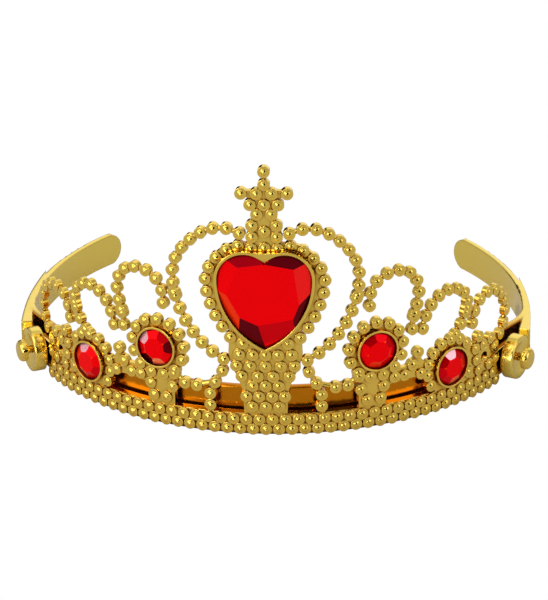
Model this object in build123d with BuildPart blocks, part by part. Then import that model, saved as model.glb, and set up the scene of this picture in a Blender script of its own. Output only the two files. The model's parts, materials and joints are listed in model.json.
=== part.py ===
from build123d import *
import os
from math import cos, degrees, hypot, radians, sin

# Toy crown: a curved openwork front plate is clipped by two side studs onto a C-shaped headband.
# +Z is up and the front faces -Y. The Z axis is the axis of the plate's curve, and z = 0 is the
# flat underside of its base rail. On the plate, s is the distance along the curve from the middle,
# and row is the height above the centres of the lowest bead row.

arc_radius = 70.8        # to the middles of the bead domes
web_back = 69.2          # radius of the plate's back face above the rail
web_front = 70.6         # radius of the flat ground between the beads
bead_pitch = 3.4
bead_radius = 1.58       # the bead's round pillar
dome_radius = 1.2
pillar_front = 71.05
pillar_back = 69.4
row_height = 2.0         # height of the lowest bead row above z = 0
link_radius = 0.72       # round rod joining neighbouring beads of a chain
link_middle = 70.15

rail_back = 68.5
rail_lip = 69.5
rail_front = 70.5
rail_step = 2.4          # the flat back strip alone reaches down to z = 0 below this height
rail_height = 6.3
rail_turn = 58.8         # degrees each way from the middle of the front
end_hole_s = 66.0
end_hole_row = 8.6
end_hole_radius = 1.4
rail_beads = 21          # to each side of the middle one
second_row = 2.7

seat_depth = 69.7        # flat floor under each round stone
stone_radius = 5.15
bezel_inner = 5.2
bezel_outer = 5.75
bezel_front = 71.8
inner_s = 29.5
inner_row = 20.4
outer_s = 52.5
outer_row = 10.3
petal_ring = 7.65
foil_thickness = 0.15
stone_height = 2.3

heart_lobe = 6.95        # radii of the heart's lobes and of its long flanks
heart_flank = 21.7
heart_lobe_s = 5.3
heart_lobe_row = 42.9
heart_floor = 69.8
heart_front = 72.4
heart_rim = 0.75
heart_ground = 2.5       # flat ground, out to the ring of beads round the heart
heart_girdle = 1.9
heart_crown = 1.3
heart_crown_inset = 0.95
fit_gap = 0.05

stud_angle = 64.0        # degrees round from the middle of the front
stud_height = 6.15
stud_neck = 1.0
stud_head = 3.0
stud_head_back = 75.3
stud_head_thickness = 2.0
stud_head_edge = 1.2
tongue_radius = 3.8

eyelet_radius = 6.1
eyelet_back = 71.0
eyelet_front = 74.3
eyelet_dish = 0.8        # depth of the shallow hollow in its outer face
eyelet_dish_radius = 5.2
eyelet_edge = 0.5

band_radius = 66.5       # middle of the band's thickness, round the front
band_thickness = 1.9
band_height = 9.4
band_low = 3.25
band_front_turn = 56.0
band_straight = 18.0
band_shoulder = 16.0
band_side = 76.0
band_side_turn = 41.3
band_edge = 0.6

os.makedirs("parts", exist_ok=True)


def on_plate(s, row, radius):
    """Place on the plate: local Z points outwards and local X runs along the curve."""
    turn = Location((0, 0, 0), (0, 0, degrees(s / arc_radius)))
    return turn * Location((0, -radius, row + row_height), (90, 0, 0))


def at_stud(side, radius):
    """Place on a stud's axis, with local Z pointing outwards."""
    turn = Location((0, 0, 0), (0, 0, side * stud_angle))
    return turn * Location((0, -radius, stud_height), (90, 0, 0))


def spread(points, count):
    """Evenly spaced points along a smooth curve."""
    curve = Edge.make_spline([Vector(s, row) for s, row in points])
    spots = [curve.position_at(i / (count - 1)) for i in range(count)]
    return [(spot.X, spot.Y) for spot in spots]


def petals(s, row, count, lowest):
    """Beads in a ring, leaving out those that would fall on the base rail."""
    turns = [radians(90 + 360 * i / count) for i in range(count)]
    spots = [(s + petal_ring * cos(a), row + petal_ring * sin(a)) for a in turns]
    return [spot for spot in spots if spot[1] > lowest]


def heart_line(grow):
    """Right half of the heart's edge, from the cleft to the point, moved outwards by grow."""
    lobe = heart_lobe + grow
    flank = heart_flank + grow
    flank_s = heart_lobe_s + heart_lobe - heart_flank
    wide = (heart_lobe_s + lobe, heart_lobe_row)
    cleft = (0, heart_lobe_row + (lobe ** 2 - heart_lobe_s ** 2) ** 0.5)
    point = (0, heart_lobe_row - (flank ** 2 - flank_s ** 2) ** 0.5)
    flank_mid = (flank_s + flank * cos(radians(30)), heart_lobe_row - flank * sin(radians(30)))
    ThreePointArc(cleft, (heart_lobe_s, heart_lobe_row + lobe), wide)
    ThreePointArc(wide, flank_mid, point)


# Chains of beads on the right half. Neighbours in a chain are joined by narrow links.
great_arch = spread([(6.4, 54.9), (13.2, 55.8), (19.9, 51.7), (24.4, 44.5), (24.2, 37.0),
                     (20.2, 27.6), (10.9, 19.4)], 16)
arch_foot = [(10.9, 19.4), (11.3, 16.1), (13.3, 12.7), (14.6, 9.4), (14.6, 6.2), (15.3, second_row)]
low_links = [(13.3, 12.7), (18.3, 11.2), (21.6, 11.4), (24.6, 13.6)]
second_arch = spread([(27.8, 36.6), (29.8, 39.8), (34.8, 41.7), (39.8, 39.8), (42.0, 34.6),
                      (40.4, 27.8), (39.9, 24.2)], 10)
second_curl = [(24.2, 36.6), (27.8, 36.6), (27.5, 33.1)]
third_arch = spread([(44.2, 26.9), (46.4, 30.0), (51.2, 32.4), (56.0, 31.2), (58.6, 28.0),
                     (57.8, 23.6), (54.2, 18.9)], 10)
third_curl = [(40.6, 28.4), (44.2, 26.9), (43.2, 23.5)]
end_arch = spread([(61.8, 23.2), (63.9, 25.8), (68.9, 26.9), (74.0, 24.2), (76.6, 19.0), (73.4, 12.6)], 9)
end_curl = [(58.4, 25.2), (61.8, 23.2), (60.9, 20.0)]
chains = [great_arch, arch_foot, low_links, second_arch, second_curl, third_arch, third_curl,
          end_arch, end_curl]

heart_ring = spread([(3.4, 50.9), (6.6, 51.5), (10.1, 50.0), (13.3, 47.0), (15.5, 42.4), (15.1, 37.6),
                     (12.8, 31.4), (9.1, 25.9)], 11)
stem_rows = [(6.4, (3.5,)), (9.3, (1.7, 5.0)), (12.3, (3.4,)), (15.0, (2.0, 6.2)),
             (17.9, (4.0, 7.6)), (21.1, (3.3, 6.8)), (24.3, (5.9,))]
neck_rows = [(54.1, (3.2,)), (57.2, (3.2,)), (60.3, (1.9,)), (62.9, (3.6,)), (65.9, (2.0, 5.9))]
middle_rows = (6.4, 12.3, 17.9, 21.1, 51.1, 55.6, 62.9, 68.4, 71.9)
inner_foot = [(25.1, 9.8), (28.3, 9.9), (31.5, 9.8), (26.9, 6.5), (30.6, 6.5)]
finial = [(41.7, 17.2), (40.0, 14.0), (37.6, 11.6), (34.6, 11.7), (42.6, 10.9)]
end_field = [(63.4, 15.4), (61.9, 12.3), (65.2, 12.5), (68.5, 13.2), (70.4, 10.2), (71.0, 6.6),
             (62.4, 8.9), (63.3, 5.7), (68.0, 5.9)]

right_beads = list(heart_ring) + inner_foot + finial + end_field
right_beads += [(s, row) for row, places in stem_rows + neck_rows for s in places]
right_beads += petals(inner_s, inner_row, 13, 0)
right_beads += petals(outer_s, outer_row, 15, 5.5)
for chain in chains:
    right_beads += chain
right_beads += [(i * bead_pitch, 0) for i in range(1, rail_beads + 1)]
right_beads += [((i - 0.5) * bead_pitch, second_row) for i in range(1, rail_beads + 1)]

# Two beads that would stand on the same spot are one bead.
kept_beads = []
for spot in right_beads:
    if all(hypot(spot[0] - other[0], spot[1] - other[1]) > 2.5 for other in kept_beads):
        kept_beads.append(spot)
middle_beads = [(0, 0)] + [(0, row) for row in middle_rows]
chain_beads = [spot for chain in chains for spot in chain]
ground_beads = [spot for spot in kept_beads if spot not in chain_beads]

# Flat ground between the beads, as outlines in (s, row) on the right half.
stem_ground = [(0, 3.5), (5.6, 3.5), (5.8, 10.5), (7.4, 15.0), (8.6, 17.0), (9.6, 21.0), (9.4, 26.0),
               (6.0, 29.0), (0, 29.0)]
neck_ground = [(0, 47.0), (6.0, 49.0), (4.6, 52.0), (4.2, 57.4), (2.3, 60.0), (4.2, 62.4),
               (2.9, 64.4), (6.0, 65.3), (6.0, 66.5), (1.7, 67.0), (0.6, 69.6), (0.6, 71.8), (0, 71.8)]
inner_ground = [(24.6, 3.5), (32.2, 3.5), (32.2, 9.6), (38.0, 10.4), (45.0, 9.8), (47.4, 3.5),
                (50.0, 3.5), (50.0, 12.0), (44.6, 12.6), (41.7, 16.6), (38.0, 14.0), (35.5, 14.0),
                (35.5, 20.0), (24.0, 20.0), (23.2, 14.0), (24.6, 12.6)]
end_ground = [(54.0, 3.5), (72.0, 3.5), (72.6, 10.4), (71.0, 13.6), (64.8, 13.8), (63.4, 16.0),
              (61.6, 13.8), (54.0, 14.0)]

# One bead: a round pillar with a slightly narrower dome, made once and repeated.
with BuildPart() as bead:
    with Locations((0, 0, pillar_back)):
        Cylinder(bead_radius, pillar_front - pillar_back, align=(Align.CENTER, Align.CENTER, Align.MIN))
    with Locations((0, 0, arc_radius)):
        Sphere(dome_radius, arc_size1=0, arc_size2=90)

both = (1, -1)
upright = (Align.CENTER, Align.CENTER, Align.MIN)

# The stud's neck starts inside the end tongue.
with BuildPart() as stud:
    with Locations((0, 0, web_front - 0.7)):
        Cylinder(stud_neck, stud_head_back - web_front + 1.2, align=upright)
    with Locations((0, 0, stud_head_back)):
        Cylinder(stud_head, stud_head_thickness, align=upright)
    fillet(stud.edges().filter_by(GeomType.CIRCLE).sort_by(Axis.Z)[-1], stud_head_edge)


def make_chain(spots):
    """Beads joined by short round rods that end inside the pillars."""
    with BuildPart(mode=Mode.PRIVATE) as chain_part:
        with Locations(*[on_plate(s, row, 0) for s, row in spots]):
            add(bead.part)
        for here, there in zip(spots[:-1], spots[1:]):
            start = on_plate(*here, link_middle).position
            end = on_plate(*there, link_middle).position
            way = (end - start).normalized()
            add(Solid.make_cylinder(link_radius, (end - start).length - 1.0, Plane(start + way * 0.5, z_dir=way)))
    return chain_part.part


chain_parts = [make_chain([(side * s, row) for s, row in chain]) for chain in chains for side in both]

with BuildPart() as front_plate:
    # Ground: flat outlines pushed out from the axis, then trimmed to the curved sheet.
    for outline in (stem_ground, neck_ground):
        with BuildSketch(Plane(on_plate(0, 0, 60))):
            with BuildLine():
                Polyline(*outline, *[(-x, row) for x, row in reversed(outline) if x > 0], close=True)
            make_face()
        extrude(amount=20)
    with BuildSketch(Plane(on_plate(0, 0, 60))):
        with BuildLine():
            heart_line(heart_ground)
            mirror(about=Plane.YZ)
        make_face()
    extrude(amount=20)
    for side in both:
        for outline, s in ((inner_ground, inner_s), (end_ground, outer_s)):
            with BuildSketch(Plane(on_plate(side * s, 0, 60))):
                with BuildLine():
                    Polyline(*[(side * (x - s), row) for x, row in outline], close=True)
                make_face()
            extrude(amount=20)
        with Locations(on_plate(side * inner_s, inner_row, 60), on_plate(side * outer_s, outer_row, 60)):
            Cylinder(petal_ring - 0.5, 20, align=upright)
        with Locations(at_stud(side, 60)):
            Cylinder(tongue_radius, 20, align=upright)
        with Locations(at_stud(side, 60) * Location((-4 * side, 0, 0))):
            Box(8, 2 * tongue_radius, 20, align=upright)
        with Locations(on_plate(side * end_hole_s, end_hole_row, 60)):
            Cylinder(end_hole_radius, 20, align=upright, mode=Mode.SUBTRACT)
    Cylinder(web_front, 100, align=upright, mode=Mode.INTERSECT)
    # Raised rims round the stones, with a flat land in the heart's cleft.
    with BuildSketch(Plane(on_plate(0, 0, 60))):
        with BuildLine():
            heart_line(heart_rim)
            mirror(about=Plane.YZ)
        make_face()
        with Locations((0, heart_lobe_row + heart_lobe + 0.45)):
            Rectangle(2 * heart_lobe_s, 3.6, align=(Align.CENTER, Align.MAX))
    extrude(amount=heart_front - 60)
    for side in both:
        with Locations(on_plate(side * inner_s, inner_row, 60), on_plate(side * outer_s, outer_row, 60)):
            Cylinder(bezel_outer, bezel_front - 60, align=upright)
    Cylinder(web_back, 100, align=upright, mode=Mode.SUBTRACT)
    # Base rail: it stands on its flat back strip, and the beads scallop its front edge.
    with BuildSketch(Plane((0, 0, 0), x_dir=(-sin(radians(rail_turn)), -cos(radians(rail_turn)), 0),
                           z_dir=(-cos(radians(rail_turn)), sin(radians(rail_turn)), 0))):
        with BuildLine():
            Polyline((rail_back, 0), (rail_lip, 0), (rail_lip, rail_step), (rail_front, rail_step),
                     (rail_front, rail_height), (rail_back, rail_height), close=True)
        make_face()
    revolve(axis=Axis.Z, revolution_arc=2 * rail_turn)
    # Beads on the ground, then the chains that arch over the openings.
    with Locations(*[on_plate(side * s, row, 0) for s, row in ground_beads for side in both],
                   *[on_plate(s, row, 0) for s, row in middle_beads]):
        add(bead.part)
    for chain_part in chain_parts:
        add(chain_part)
    # Flat-floored seats for the stones.
    with BuildSketch(Plane(on_plate(0, 0, heart_floor))):
        with BuildLine():
            heart_line(0)
            mirror(about=Plane.YZ)
        make_face()
    extrude(amount=10, mode=Mode.SUBTRACT)
    for side in both:
        with Locations(on_plate(side * inner_s, inner_row, seat_depth),
                       on_plate(side * outer_s, outer_row, seat_depth)):
            Cylinder(bezel_inner, 10, align=upright, mode=Mode.SUBTRACT)
    # A mushroom stud on each end tongue.
    with Locations(at_stud(1, 0), at_stud(-1, 0)):
        add(stud.part)
front_plate.part.label = "front_plate"
export_step(front_plate.part, "parts/front_plate.step")

# Headband: a C-shaped springy band behind the plate. At each side a prong leaves it and carries a
# dished eyelet, and the plate's end tongue lies between the eyelet and the band.
with BuildPart() as eyelet:
    Cylinder(eyelet_radius, eyelet_front - eyelet_back, align=upright)
    fillet(eyelet.edges().filter_by(GeomType.CIRCLE).sort_by(Axis.Z)[-1], eyelet_edge)
    with Locations((0, 0, eyelet_front - eyelet_back)):
        Cone(eyelet_dish_radius - 2.2, eyelet_dish_radius, eyelet_dish, mode=Mode.SUBTRACT,
             align=(Align.CENTER, Align.CENTER, Align.MAX))

with BuildPart() as headband:
    with BuildLine() as right_path:
        CenterArc((0, 0), band_radius, -90, band_front_turn)
        Line(right_path.line @ 1, right_path.line @ 1 + (right_path.line % 1) * band_straight)
        JernArc(right_path.line @ 1, right_path.line % 1, band_shoulder, 90 - band_front_turn)
        JernArc(right_path.line @ 1, right_path.line % 1, band_side, band_side_turn)
    tip = right_path.line @ 1
    tip_way = right_path.line % 1
    with BuildSketch(Plane(origin=(0, -band_radius, 0), x_dir=(0, 1, 0), z_dir=(1, 0, 0))):
        with Locations((0, band_low + band_height / 2)):
            RectangleRounded(band_thickness, band_height, band_edge)
    sweep()
    # Round the free tip.
    tip_plane = Plane(tip, x_dir=tip_way, z_dir=tip_way.cross(Vector(0, 0, 1)))
    with BuildSketch(tip_plane):
        with Locations((-band_height / 2, band_low + band_height / 2)):
            Rectangle(band_height, 2 * band_height, align=(Align.MIN, Align.CENTER))
            Circle(band_height / 2, mode=Mode.SUBTRACT)
    extrude(amount=4, both=True, mode=Mode.SUBTRACT)
    # Prong that carries the eyelet.
    with BuildSketch(Plane.XY.offset(band_low + 0.01)):
        with BuildLine():
            Spline((69.1, -28.6), (69.35, -21.0), (69.2, -12.0), (68.3, -3.0), (66.6, 7.0))
            Line((66.6, 7.0), (66.3, 2.0))
            Spline((66.3, 2.0), (67.2, -7.0), (67.3, -15.0), (67.0, -21.0), (66.1, -28.0))
            Line((66.1, -28.0), (69.1, -28.6))
        make_face()
    extrude(amount=band_height - 0.02)
    with Locations(at_stud(1, eyelet_back)):
        add(eyelet.part)
        Cylinder(stud_neck + fit_gap, 4 * eyelet_radius, mode=Mode.SUBTRACT)
    mirror(about=Plane.YZ)
headband.part.label = "headband"
export_step(headband.part, "parts/headband.step")


def export_piece(piece, name):
    piece.label = name
    export_step(piece, "parts/" + name + ".step")


# Heart stone on its mirror foil.
with BuildPart() as heart_foil:
    with BuildSketch(Plane(on_plate(0, 0, heart_floor))):
        with BuildLine():
            heart_line(-0.1)
            mirror(about=Plane.YZ)
        make_face()
    extrude(amount=foil_thickness)
export_piece(heart_foil.part, "heart_foil")

with BuildPart() as heart_stone:
    with BuildSketch(Plane(on_plate(0, 0, heart_floor + foil_thickness))):
        with BuildLine():
            heart_line(-fit_gap)
            mirror(about=Plane.YZ)
        make_face()
    extrude(amount=heart_girdle)
    for height, grow in ((heart_girdle, -fit_gap), (heart_girdle + heart_crown, -heart_crown_inset)):
        with BuildSketch(Plane(on_plate(0, 0, heart_floor + foil_thickness + height))):
            with BuildLine():
                heart_line(grow)
                mirror(about=Plane.YZ)
            make_face()
    loft(ruled=True)
export_piece(heart_stone.part, "heart_stone")


# Round stones: a girdle cut to twelve sloping facets round a flat table.
def make_round_stone(side, s, row, stone_name, foil_name):
    with BuildPart(mode=Mode.PRIVATE) as foil:
        with Locations(on_plate(side * s, row, seat_depth)):
            Cylinder(stone_radius - 0.1, foil_thickness, align=upright)
    with BuildPart(mode=Mode.PRIVATE) as stone:
        with BuildSketch(Plane(on_plate(side * s, row, seat_depth + foil_thickness))):
            RegularPolygon(stone_radius + stone_height * 0.9, 12)
        extrude(amount=stone_height, taper=48)
        with Locations(on_plate(side * s, row, seat_depth + foil_thickness)):
            Cylinder(stone_radius, stone_height, align=upright, mode=Mode.INTERSECT)
    export_piece(foil.part, foil_name)
    export_piece(stone.part, stone_name)


make_round_stone(1, inner_s, inner_row, "inner_stone_right", "inner_foil_right")
make_round_stone(-1, inner_s, inner_row, "inner_stone_left", "inner_foil_left")
make_round_stone(1, outer_s, outer_row, "outer_stone_right", "outer_foil_right")
make_round_stone(-1, outer_s, outer_row, "outer_stone_left", "outer_foil_left")
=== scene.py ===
import json
import math

import bmesh
import bpy
from mathutils import Matrix, Vector

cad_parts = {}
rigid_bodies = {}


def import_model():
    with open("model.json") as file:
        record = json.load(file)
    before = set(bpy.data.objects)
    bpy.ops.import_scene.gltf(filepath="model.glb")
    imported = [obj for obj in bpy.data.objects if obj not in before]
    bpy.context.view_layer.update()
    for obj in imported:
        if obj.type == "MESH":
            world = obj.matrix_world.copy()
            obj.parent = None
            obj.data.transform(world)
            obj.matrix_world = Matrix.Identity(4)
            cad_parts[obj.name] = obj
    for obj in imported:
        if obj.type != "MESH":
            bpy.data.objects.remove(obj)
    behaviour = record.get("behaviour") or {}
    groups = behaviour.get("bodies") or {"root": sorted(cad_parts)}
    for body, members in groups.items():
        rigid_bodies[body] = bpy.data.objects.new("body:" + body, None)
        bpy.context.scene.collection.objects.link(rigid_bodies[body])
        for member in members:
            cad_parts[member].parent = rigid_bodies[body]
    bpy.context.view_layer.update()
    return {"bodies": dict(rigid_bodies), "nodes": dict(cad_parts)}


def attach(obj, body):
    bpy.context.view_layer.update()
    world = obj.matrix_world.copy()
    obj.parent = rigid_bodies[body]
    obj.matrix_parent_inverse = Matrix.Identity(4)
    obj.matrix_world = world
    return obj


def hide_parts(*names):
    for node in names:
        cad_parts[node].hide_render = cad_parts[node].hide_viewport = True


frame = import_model()
MM = 0.001

# ---------------------------------------------------------------- sizes shared with the CAD part (mm)
ROW_Z = 2.0              # height of the lowest bead row, from which rows are measured
ARC = 70.8               # radius at which distances along the curved plate are measured
HEART_FLOOR = 69.8       # floor of the heart's setting
SEAT = 69.7              # floors of the round stones' settings
FOIL = 0.15
HEART_LOBE = 6.95
HEART_FLANK = 21.7
HEART_LOBE_S = 5.3
HEART_LOBE_ROW = 42.9
ROUND_RADIUS = 5.15
ROUND_PLACES = ((29.5, 20.4, "inner"), (52.5, 10.3, "outer"))    # distance along the plate, row, name

# the cut stones (mm)
HEART_MIDDLE = 38.0      # row of the heart's local origin
HEART_TOP = 3.3
HEART_GAP = 0.05         # between the heart and the wall of its setting
ROUND_TOP = 2.4
SINK = 0.01              # stones start this far inside their foils


def on_plate(s, row, radius):
    """Matrix of a place on the curved plate: local Z outwards, local X along the curve, local Y up. Metres."""
    turn = Matrix.Rotation(s / ARC, 4, "Z")
    face = Matrix.Rotation(math.pi / 2, 4, "X")
    return turn @ Matrix.Translation(Vector((0, -radius, row + ROW_Z)) * MM) @ face


# ---------------------------------------------------------------- node material helpers
def new_material(name):
    mat = bpy.data.materials.new(name)
    mat.use_nodes = True
    nt = mat.node_tree
    nt.nodes.clear()
    out = nt.nodes.new("ShaderNodeOutputMaterial")
    out.name = "Material Output"
    bsdf = nt.nodes.new("ShaderNodeBsdfPrincipled")
    nt.links.new(bsdf.outputs[0], out.inputs[0])
    return mat, nt, bsdf


def noise(nt, coords, scale, detail=4.0, rough=0.5):
    n = nt.nodes.new("ShaderNodeTexNoise")
    n.inputs["Scale"].default_value = scale
    n.inputs["Detail"].default_value = detail
    n.inputs["Roughness"].default_value = rough
    nt.links.new(coords, n.inputs["Vector"])
    return n


def ramp(nt, value, low, high, out_low, out_high):
    m = nt.nodes.new("ShaderNodeMapRange")
    m.inputs["From Min"].default_value = low
    m.inputs["From Max"].default_value = high
    m.inputs["To Min"].default_value = out_low
    m.inputs["To Max"].default_value = out_high
    nt.links.new(value, m.inputs["Value"])
    return m.outputs["Result"]


def crease_shade_mask(nt, coords, reach):
    """Mask of painted shade: 1 in the open, falling to 0 in corners narrower than reach. It needs no
    coordinates.
    """
    near = nt.nodes.new("ShaderNodeAmbientOcclusion")
    near.samples = 8
    near.inputs["Distance"].default_value = reach * MM
    return ramp(nt, near.outputs["AO"], 0.42, 0.85, 0, 1)


def shade_behind_plate(nt, coords, reach):
    """Mask of painted shade and reflection on the band: 0 on the band's front stretch, close behind the plate,
    and 1 on its arms and beyond the radius reach.
    """
    part = nt.nodes.new("ShaderNodeSeparateXYZ")
    nt.links.new(coords, part.inputs[0])
    flat = nt.nodes.new("ShaderNodeCombineXYZ")
    nt.links.new(part.outputs["X"], flat.inputs["X"])
    nt.links.new(part.outputs["Y"], flat.inputs["Y"])
    radius = nt.nodes.new("ShaderNodeVectorMath")
    radius.operation = "LENGTH"
    nt.links.new(flat.outputs[0], radius.inputs[0])
    either = nt.nodes.new("ShaderNodeMath")
    either.operation = "MAXIMUM"
    nt.links.new(ramp(nt, part.outputs["Y"], -30 * MM, -18 * MM, 0, 1), either.inputs[0])
    nt.links.new(ramp(nt, radius.outputs["Value"], reach * MM, (reach + 0.5) * MM, 0, 1), either.inputs[1])
    return either.outputs[0]


def gold(name, colour, deep, unshaded_mask, reach, rough_low, rough_high, edge, bump):
    """Gold metallised plastic: mirror-like, a little uneven, with painted shade that turns the colour to deep
    where the mask gives 0.
    """
    mat, nt, bsdf = new_material(name)
    coords = nt.nodes.new("ShaderNodeTexCoord").outputs["Object"]
    # painted shade: the base colour is mixed towards deep where the mask falls to 0
    tint = nt.nodes.new("ShaderNodeMix")
    tint.data_type = "RGBA"
    tint.inputs[6].default_value = (*deep, 1)
    tint.inputs[7].default_value = (*colour, 1)
    nt.links.new(unshaded_mask(nt, coords, reach), tint.inputs[0])
    nt.links.new(tint.outputs[2], bsdf.inputs["Base Color"])
    bsdf.inputs["Metallic"].default_value = 1.0
    wear = noise(nt, coords, 90.0, 5.0)
    nt.links.new(ramp(nt, wear.outputs["Fac"], 0.35, 0.7, rough_low, rough_high), bsdf.inputs["Roughness"])
    wave = noise(nt, coords, 260.0, 2.0)
    bump_node = nt.nodes.new("ShaderNodeBump")
    bump_node.inputs["Strength"].default_value = bump
    bump_node.inputs["Distance"].default_value = 0.0002
    nt.links.new(wave.outputs["Fac"], bump_node.inputs["Height"])
    if edge:
        bevel = nt.nodes.new("ShaderNodeBevel")
        bevel.samples = 6
        bevel.inputs["Radius"].default_value = edge * MM
        nt.links.new(bevel.outputs["Normal"], bump_node.inputs["Normal"])
    nt.links.new(bump_node.outputs["Normal"], bsdf.inputs["Normal"])
    return mat


def stone_material(name, colour, dark=0.25):
    """Tinted acrylic over a bright backing: a faint painted glow stands in for the light the backing sends
    back, and painted shade makes it darker near the wall of its setting.
    """
    mat, nt, bsdf = new_material(name)
    # painted shade near the wall of the setting
    near = nt.nodes.new("ShaderNodeAmbientOcclusion")
    near.samples = 8
    near.inputs["Distance"].default_value = 0.9 * MM
    tint = nt.nodes.new("ShaderNodeMix")
    tint.data_type = "RGBA"
    tint.inputs[6].default_value = (*(c * dark for c in colour), 1)
    tint.inputs[7].default_value = (*colour, 1)
    nt.links.new(ramp(nt, near.outputs["AO"], 0.45, 0.85, 0, 1), tint.inputs[0])
    nt.links.new(tint.outputs[2], bsdf.inputs["Base Color"])
    # painted glow: the stone gives off a little light of its own colour
    nt.links.new(tint.outputs[2], bsdf.inputs["Emission Color"])
    bsdf.inputs["Emission Strength"].default_value = 0.15
    bsdf.inputs["Metallic"].default_value = 0.6
    bsdf.inputs["Roughness"].default_value = 0.06
    bsdf.inputs["Specular IOR Level"].default_value = 0.1
    return mat


def foil_material(name):
    mat, nt, bsdf = new_material(name)
    coords = nt.nodes.new("ShaderNodeTexCoord").outputs["Object"]
    bsdf.inputs["Base Color"].default_value = (0.93, 0.92, 0.92, 1)
    bsdf.inputs["Metallic"].default_value = 1.0
    n = noise(nt, coords, 60.0)
    nt.links.new(ramp(nt, n.outputs["Fac"], 0.3, 0.7, 0.05, 0.12), bsdf.inputs["Roughness"])
    return mat


# plate: orange-brown painted shade in its creases and round its beads
plate_gold = gold("plate_gold", (0.97, 0.67, 0.115), (0.36, 0.13, 0.006), crease_shade_mask, 2.0, 0.04, 0.09, 0.28, 0.04)
# band: deep orange painted shade and painted reflection of the plate's gold where it stands close behind the
# plate
band_gold = gold("band_gold", (1.0, 0.74, 0.15), (0.66, 0.23, 0.007), shade_behind_plate, 70.0, 0.12, 0.22, 0.7, 0.03)
# one red stone seen at many angles: each facet takes a copy of the material painted with the shade that the
# light gives it, and the pale and coral ones a painted reflection
SHADES = {"red": (0.98, 0.0, 0.002), "dark": (0.13, 0.0, 0.004), "deep": (0.68, 0.0, 0.004),
          "flame": (1.0, 0.035, 0.003), "coral": (1.0, 0.22, 0.09), "pale": (0.95, 0.46, 0.52),
          "dusk": (0.42, 0.0, 0.006), "rose": (1.0, 0.014, 0.012)}
STONE = [stone_material(f"stone_{shade}", colour) for shade, colour in SHADES.items()]
RED, DARK, DEEP, FLAME, CORAL, PALE, DUSK, ROSE = range(len(STONE))
foil_silver = foil_material("foil_silver")


# ---------------------------------------------------------------- CAD nodes: merged and smoothed by angle
def smooth_group():
    g = bpy.data.node_groups.new("smooth_by_edge", "GeometryNodeTree")
    g.interface.new_socket("Geometry", in_out="INPUT", socket_type="NodeSocketGeometry")
    g.interface.new_socket("Geometry", in_out="OUTPUT", socket_type="NodeSocketGeometry")
    start = g.nodes.new("NodeGroupInput")
    end = g.nodes.new("NodeGroupOutput")
    merge = g.nodes.new("GeometryNodeMergeByDistance")
    merge.inputs["Distance"].default_value = 1e-6
    faces = g.nodes.new("GeometryNodeSetShadeSmooth")
    faces.domain = "FACE"
    edges = g.nodes.new("GeometryNodeSetShadeSmooth")
    edges.domain = "EDGE"
    angle = g.nodes.new("GeometryNodeInputMeshEdgeAngle")
    small = g.nodes.new("FunctionNodeCompare")
    small.operation = "LESS_THAN"
    small.inputs[1].default_value = math.radians(38)
    g.links.new(start.outputs[0], merge.inputs["Geometry"])
    g.links.new(merge.outputs[0], faces.inputs["Geometry"])
    g.links.new(faces.outputs[0], edges.inputs["Geometry"])
    g.links.new(angle.outputs["Unsigned Angle"], small.inputs[0])
    g.links.new(small.outputs[0], edges.inputs["Shade Smooth"])
    g.links.new(edges.outputs[0], end.inputs[0])
    return g


smooth = smooth_group()


def dress(node, mat):
    o = frame["nodes"][node]
    o.data.materials.clear()
    o.data.materials.append(mat)
    m = o.modifiers.new("smooth", "NODES")
    m.node_group = smooth
    return o


dress("front_plate", plate_gold)
dress("headband", band_gold)
for n in list(frame["nodes"]):
    if "foil" in n:
        dress(n, foil_silver)


# ---------------------------------------------------------------- stones: prisms trimmed by facet planes
FLAT = math.radians(0.5)    # neighbouring faces closer to level than this are one facet


def cut_stone(name, outline, top, planes, place, body):
    """A prism over outline cut by planes (middle x, y, direction, distance, slope from the table, tint of
    painted light and shade).
    """
    bm = bmesh.new()
    low = [bm.verts.new(Vector((x, y, 0)) * MM) for x, y in outline]
    high = [bm.verts.new(Vector((x, y, top)) * MM) for x, y in outline]
    bm.faces.new(list(reversed(low)))
    bm.faces.new(high)
    n = len(outline)
    for i in range(n):
        j = (i + 1) % n
        bm.faces.new((low[i], low[j], high[j], high[i]))
    for cx, cy, turn, reach, slope, tint in planes:
        a, b = math.radians(turn), math.radians(slope)
        way = Vector((math.cos(a), math.sin(a), 0))
        normal = way * math.sin(b) + Vector((0, 0, math.cos(b)))
        point = (Vector((cx, cy, top)) + way * reach) * MM
        bmesh.ops.triangulate(bm, faces=bm.faces[:])
        bmesh.ops.bisect_plane(bm, geom=bm.verts[:] + bm.edges[:] + bm.faces[:], plane_co=point,
                               plane_no=normal, clear_outer=True, dist=1e-8)
        filled = bmesh.ops.holes_fill(bm, edges=[e for e in bm.edges if e.is_boundary])
        for face in filled["faces"]:
            face.material_index = tint
    bmesh.ops.dissolve_limit(bm, angle_limit=FLAT, verts=bm.verts[:], edges=bm.edges[:])
    bmesh.ops.recalc_face_normals(bm, faces=bm.faces[:])
    me = bpy.data.meshes.new(name)
    bm.to_mesh(me)
    bm.free()
    me.transform(place)
    o = bpy.data.objects.new(name, me)
    bpy.context.scene.collection.objects.link(o)
    for mat in STONE:
        me.materials.append(mat)
    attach(o, body)
    return o


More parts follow.
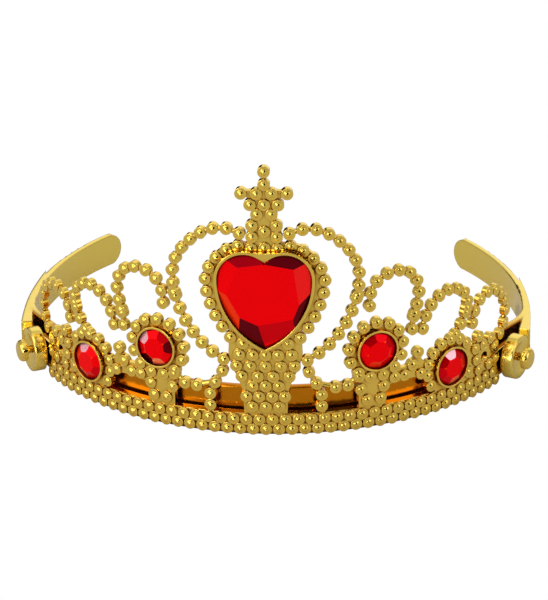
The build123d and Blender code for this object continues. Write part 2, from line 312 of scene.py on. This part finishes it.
def heart_outline(grow, steps):
    """The heart from two lobe arcs and two long flank arcs, anticlockwise from the point."""
    lobe, flank = HEART_LOBE + grow, HEART_FLANK + grow
    flank_s = HEART_LOBE_S + HEART_LOBE - HEART_FLANK
    cleft = math.acos(-HEART_LOBE_S / lobe)
    point = math.acos(-flank_s / flank)
    right = [(flank_s + flank * math.cos(a), HEART_LOBE_ROW + flank * math.sin(a))
             for a in (-point * (1 - i / steps) for i in range(steps))]
    right += [(HEART_LOBE_S + lobe * math.cos(a), HEART_LOBE_ROW + lobe * math.sin(a))
              for a in (cleft * i / steps for i in range(steps + 1))]
    right[0] = (0.0, right[0][1])
    right[-1] = (0.0, right[-1][1])
    left = [(-x, y) for x, y in reversed(right[1:-1])]
    return right + left


body = list(frame["bodies"])[0]
# facets as (middle x, y, direction in degrees, distance from there, slope, tint of painted light and shade)
heart_planes = [(0, 0, 160, 9.4, 22, RED), (0, 0, 8, 8.6, 20, ROSE), (0, 0, 208, 8.1, 33, FLAME),
                (0, 0, -78, 7.0, 16, DEEP), (0, 0, -52, 9.2, 24, DEEP), (0, 0, -21, 8.9, 36, DARK),
                (0, 0, 245, 7.5, 20.2, DARK), (5, 0, 80, 8.6, 34, DARK), (-5, 0, 98, 8.82, 34, DUSK)]
outline = [(x, y - HEART_MIDDLE) for x, y in heart_outline(-HEART_GAP, 16)]
heart_place = on_plate(0, HEART_MIDDLE, HEART_FLOOR + FOIL - SINK)
heart_gem = cut_stone("heart_gem", outline, HEART_TOP, heart_planes, heart_place, body)
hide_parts("heart_stone")

RING_STEPS = 72
ring = [(ROUND_RADIUS * math.cos(a), ROUND_RADIUS * math.sin(a))
        for a in (2 * math.pi * i / RING_STEPS for i in range(RING_STEPS))]
# each round stone: its turn in its seat in degrees, and the painted light and shade tints of its large facets,
# clockwise from the left
round_looks = {
    "inner_right": (10, (RED, DEEP, DEEP, DEEP, RED, RED, FLAME, RED)),
    "inner_left": (-12, (PALE, RED, DEEP, DARK, RED, CORAL, DARK, RED)),
    "outer_right": (-12, (DEEP, PALE, DEEP, FLAME, FLAME, CORAL, DEEP, DEEP)),
    "outer_left": (-6, (FLAME, PALE, RED, RED, DEEP, DEEP, CORAL, FLAME)),
}
for side, tag in ((1, "right"), (-1, "left")):
    for s, row, label in ROUND_PLACES:
        turn, tints = round_looks[f"{label}_{tag}"]
        large = [(0, 0, 157.5 - 45 * i + turn, 2.75, 31, tint) for i, tint in enumerate(tints)]
        small = [(0, 0, 180 - 45 * i + turn, 2.85, 24, RED if i % 3 else FLAME) for i in range(8)]
        place = on_plate(side * s, row, SEAT + FOIL - SINK)
        gem = cut_stone(f"{label}_gem_{tag}", ring, ROUND_TOP, large + small, place, body)
        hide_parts(f"{label}_stone_{tag}")

# ---------------------------------------------------------------- stage, light and camera
# the floor lights the gold from below, and the camera sees it as the plain white of the background
bpy.ops.mesh.primitive_plane_add(size=1, location=(0, 0, -0.0002))
floor = bpy.context.object
floor.name = "floor"
floor_mat, nt, lit = new_material("floor")
lit.inputs["Base Color"].default_value = (0.62, 0.62, 0.62, 1)
lit.inputs["Roughness"].default_value = 0.9
glow = nt.nodes.new("ShaderNodeEmission")
glow.inputs["Strength"].default_value = 1.0
pick = nt.nodes.new("ShaderNodeMixShader")
nt.links.new(nt.nodes.new("ShaderNodeLightPath").outputs["Is Camera Ray"], pick.inputs[0])
nt.links.new(lit.outputs[0], pick.inputs[1])
nt.links.new(glow.outputs[0], pick.inputs[2])
nt.links.new(pick.outputs[0], nt.nodes["Material Output"].inputs[0])
floor.data.materials.append(floor_mat)

# the room seen in the gold: grey walls with soft boxes above, behind and at both sides, and dark places
# behind to the left and round the camera
CAM = Vector((46.65, -823.2, 370.95)) * MM
AIM = Vector((0, -60, 35)) * MM
EYE = (CAM - AIM).normalized()
ACROSS = EYE.cross(Vector((0, 0, 1))).normalized() * -1
RISE = EYE.cross(ACROSS).normalized() * (1 if EYE.cross(ACROSS).z > 0 else -1)

world = bpy.data.worlds.new("studio")
bpy.context.scene.world = world
world.use_nodes = True
wt = world.node_tree
wt.nodes.clear()
way = wt.nodes.new("ShaderNodeTexCoord").outputs["Generated"]


def patch(direction, inner, outer):
    """1 inside a cone of inner degrees round a direction, 0 outside outer degrees."""
    dot = wt.nodes.new("ShaderNodeVectorMath")
    dot.operation = "DOT_PRODUCT"
    dot.inputs[1].default_value = Vector(direction).normalized()
    wt.links.new(way, dot.inputs[0])
    return ramp(wt, dot.outputs["Value"], math.cos(math.radians(outer)), math.cos(math.radians(inner)), 0, 1)


def blend(value, level, amount):
    """value mixed towards a constant level where amount is 1."""
    m = wt.nodes.new("ShaderNodeMix")
    wt.links.new(amount, m.inputs[0])
    if isinstance(value, float):
        m.inputs[2].default_value = value
    else:
        wt.links.new(value, m.inputs[2])
    m.inputs[3].default_value = level
    return m.outputs[0]


level = blend(0.55, 1.1, patch((0, -0.1, 1), 22, 38))                          # overhead
level = blend(level, 1.2, patch((0.2, 1, 0.45), 25, 38))                       # behind
level = blend(level, 0.02, patch((-0.55, 1, 0.08), 15, 24))                    # dark, behind to the left
level = blend(level, 2.2, patch((-1, -0.45, 0.45), 20, 28))                    # left
level = blend(level, 1.8, patch((1, -0.4, 0.45), 16, 24))                      # right
level = blend(level, 2.4, patch((-0.45, -0.5, 1), 12, 20))                     # upper left
level = blend(level, 0.02, patch(EYE + RISE * -0.25 + ACROSS * 0.3, 24, 30))   # dark, round the camera
level = blend(level, 9.0, patch((-0.5, -0.9, 0.12), 8, 11))                    # lamp, front left
level = blend(level, 12.0, patch(EYE + RISE * -0.05 - ACROSS * 0.1, 3, 4.5))   # lamp beside the camera
room = wt.nodes.new("ShaderNodeBackground")
wt.links.new(level, room.inputs["Strength"])
seen = wt.nodes.new("ShaderNodeBackground")
seen.inputs["Strength"].default_value = 1.0
seen.inputs["Color"].default_value = (1, 1, 1, 1)
choose = wt.nodes.new("ShaderNodeMixShader")
wt.links.new(wt.nodes.new("ShaderNodeLightPath").outputs["Is Camera Ray"], choose.inputs[0])
wt.links.new(room.outputs[0], choose.inputs[1])
wt.links.new(seen.outputs[0], choose.inputs[2])
wt.links.new(choose.outputs[0], wt.nodes.new("ShaderNodeOutputWorld").inputs[0])

cam = bpy.data.cameras.new("camera")
cam.lens = 193.2
cam.sensor_width = 36
cam.clip_start, cam.clip_end = 0.01, 20
cam_obj = bpy.data.objects.new("camera", cam)
bpy.context.scene.collection.objects.link(cam_obj)
cam_obj.location = CAM
cam_obj.rotation_euler = (math.radians(66.216), math.radians(0.464), math.radians(3.163))
bpy.context.scene.camera = cam_obj

scene = bpy.context.scene
scene.view_settings.view_transform = "Standard"
scene.view_settings.look = "None"
